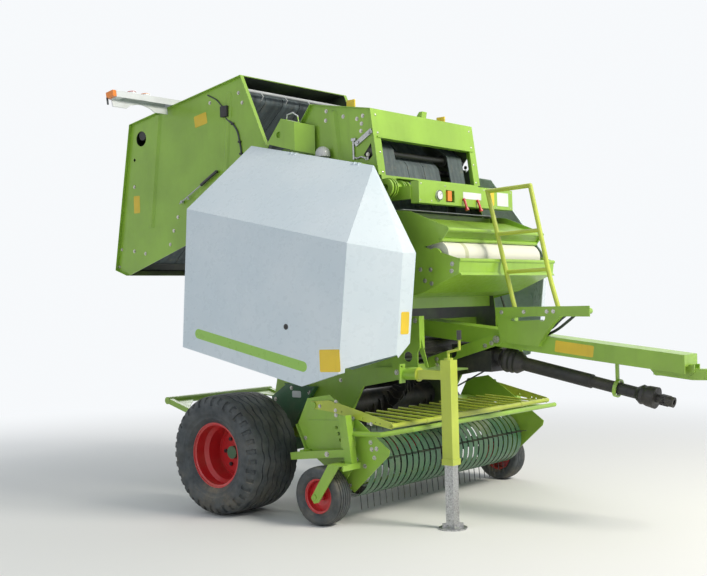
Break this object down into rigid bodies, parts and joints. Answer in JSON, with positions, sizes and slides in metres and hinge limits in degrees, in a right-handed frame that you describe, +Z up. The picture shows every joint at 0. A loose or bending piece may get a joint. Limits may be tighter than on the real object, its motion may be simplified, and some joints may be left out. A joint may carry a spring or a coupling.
{
  "type": "round baler",
  "caption": "Trailed round baler with a belt chamber, raised tailgate, folded side hoods, tined pickup, net tray, drawbar and parking jack.",
  "frame": {"origin": "on the ground, below the middle of the main axle, on the machine's centre plane", "axes": "+X forwards along the drawbar, +Y to the left side, +Z up"},
  "size_m": [5.315, 2.691, 3.318],
  "materials": {
    "leaf_paint": "gloss",
    "lime_paint": "gloss",
    "deep_paint": "gloss",
    "white_shell": "gloss",
    "red_paint": "gloss",
    "black_paint": "satin",
    "black_plastic": "matte",
    "belt_rubber": "matte",
    "tyre_rubber": "matte",
    "bright_steel": "satin",
    "net_film": "matte"
  },
  "bodies": {
    "chassis": {"chamber_sides": "leaf_paint", "front_panel": "leaf_paint", "front_rollers": "black_paint", "front_belts": "belt_rubber", "control_panel": "leaf_paint", "net_box": "leaf_paint", "net_guides": "bright_steel", "front_frame": "leaf_paint", "axle": "deep_paint", "drawbar": "leaf_paint", "guard_rail": "lime_paint", "gearbox": "black_paint", "oil_box": "leaf_paint", "latches": "bright_steel", "drive": "black_paint"},
    "net_roll": {"net_roll": "net_film"},
    "drive_shaft": {"pto_shaft": "black_plastic"},
    "main_wheel_r": {"tyre_r": "tyre_rubber", "wheel_r": "red_paint"},
    "main_wheel_l": {"tyre_l": "tyre_rubber", "wheel_l": "red_paint"},
    "pickup": {"pickup_frame": "leaf_paint", "pickup_bands": "deep_paint"},
    "tined_reel": {"reel": "black_paint"},
    "feed_rotor": {"feed_rotor": "black_paint"},
    "wind_guard": {"wind_guard": "lime_paint"},
    "gauge_wheel_r": {"gauge_tyre_r": "tyre_rubber", "gauge_wheel_r": "red_paint"},
    "gauge_wheel_l": {"gauge_tyre_l": "tyre_rubber", "gauge_wheel_l": "red_paint"},
    "tailgate": {"tailgate": "leaf_paint", "tailgate_rollers": "black_paint", "tailgate_belts": "belt_rubber", "light_bar": "white_shell"},
    "hood_r": {"hood_r": "white_shell"},
    "hood_l": {"hood_l": "white_shell"},
    "barrel_r": {"barrel_r": "black_paint"},
    "barrel_l": {"barrel_l": "black_paint"},
    "piston_r": {"rod_r": "bright_steel"},
    "piston_l": {"rod_l": "bright_steel"},
    "jack": {"jack_body": "lime_paint", "jack_crank": "lime_paint"},
    "jack_leg": {"jack_leg": "bright_steel"},
    "bale_ramp": {"bale_ramp": "leaf_paint"}
  },
  "joints": [
    {"name": "main_wheel_r_spin", "type": "hinge", "parent": "chassis", "child": "main_wheel_r", "pos_m": [0, -1.1, 0.433], "axis": [0, 1, 0], "continuous": true},
    {"name": "main_wheel_l_spin", "type": "hinge", "parent": "chassis", "child": "main_wheel_l", "pos_m": [0, 1.1, 0.433], "axis": [0, 1, 0], "continuous": true},
    {"name": "pickup_lift", "type": "hinge", "parent": "chassis", "child": "pickup", "pos_m": [0.56, 0, 0.64], "axis": [0, -1, 0], "range_deg": [0, 13]},
    {"name": "reel_spin", "type": "hinge", "parent": "pickup", "child": "tined_reel", "pos_m": [0.96, 0, 0.375], "axis": [0, 1, 0], "continuous": true},
    {"name": "wind_guard_tilt", "type": "hinge", "parent": "pickup", "child": "wind_guard", "pos_m": [0.703, 0, 0.795], "axis": [0, -1, 0], "range_deg": [0, 6]},
    {"name": "gauge_wheel_r_spin", "type": "hinge", "parent": "pickup", "child": "gauge_wheel_r", "pos_m": [0.87, -1.125, 0.2], "axis": [0, 1, 0], "continuous": true},
    {"name": "gauge_wheel_l_spin", "type": "hinge", "parent": "pickup", "child": "gauge_wheel_l", "pos_m": [0.87, 1.125, 0.2], "axis": [0, 1, 0], "continuous": true},
    {"name": "feed_rotor_spin", "type": "hinge", "parent": "chassis", "child": "feed_rotor", "pos_m": [0.49, 0, 0.74], "axis": [0, 1, 0], "continuous": true},
    {"name": "net_roll_spin", "type": "hinge", "parent": "chassis", "child": "net_roll", "pos_m": [1.498, 0, 1.812], "axis": [0, 1, 0], "continuous": true},
    {"name": "drive_shaft_spin", "type": "hinge", "parent": "chassis", "child": "drive_shaft", "pos_m": [1.64, 0, 1.075], "axis": [0.9786, 0, -0.2058], "continuous": true},
    {"name": "tailgate_swing", "type": "hinge", "parent": "chassis", "child": "tailgate", "pos_m": [0.117, 0, 2.611], "axis": [0, -1, 0], "range_deg": [0, 60]},
    {"name": "barrel_r_tilt", "type": "hinge", "parent": "chassis", "child": "barrel_r", "pos_m": [0.62, -0.679, 1.6], "axis": [0, -1, 0], "range_deg": [-1.55, 0.01]},
    {"name": "piston_r_slide", "type": "slide", "parent": "barrel_r", "child": "piston_r", "axis": [-0.7339, 0, 0.6792], "range_m": [-0.44983, 0.0005]},
    {"name": "barrel_l_tilt", "type": "hinge", "parent": "chassis", "child": "barrel_l", "pos_m": [0.62, 0.679, 1.6], "axis": [0, -1, 0], "range_deg": [-1.55, 0.01]},
    {"name": "piston_l_slide", "type": "slide", "parent": "barrel_l", "child": "piston_l", "axis": [-0.7339, 0, 0.6792], "range_m": [-0.44983, 0.0005]},
    {"name": "hood_r_lift", "type": "hinge", "parent": "chassis", "child": "hood_r", "pos_m": [0.33, -0.74, 2.61552], "axis": [-0.9756, 0, 0.2194], "range_deg": [0, 70]},
    {"name": "hood_l_lift", "type": "hinge", "parent": "chassis", "child": "hood_l", "pos_m": [0.33, 0.74, 2.61552], "axis": [0.9756, 0, -0.2194], "range_deg": [0, 70]},
    {"name": "jack_swing", "type": "hinge", "parent": "chassis", "child": "jack", "pos_m": [1.4, -0.76, 1.01], "axis": [1, 0, 0], "range_deg": [-180, 0]},
    {"name": "jack_slide", "type": "slide", "parent": "jack", "child": "jack_leg", "axis": [0, 0, 1], "range_m": [0, 0.37]},
    {"name": "ramp_tilt", "type": "hinge", "parent": "chassis", "child": "bale_ramp", "pos_m": [-0.15, 0, 0.375], "axis": [0, -1, 0], "range_deg": [0, 25]}
  ],
  "couplings": [
    {"joint": "barrel_r_tilt", "follows": "tailgate_swing", "ratio": -0.025748},
    {"joint": "piston_r_slide", "follows": "tailgate_swing", "m_per_rad": -0.42908},
    {"joint": "barrel_l_tilt", "follows": "tailgate_swing", "ratio": -0.025748},
    {"joint": "piston_l_slide", "follows": "tailgate_swing", "m_per_rad": -0.42908}
  ]
}
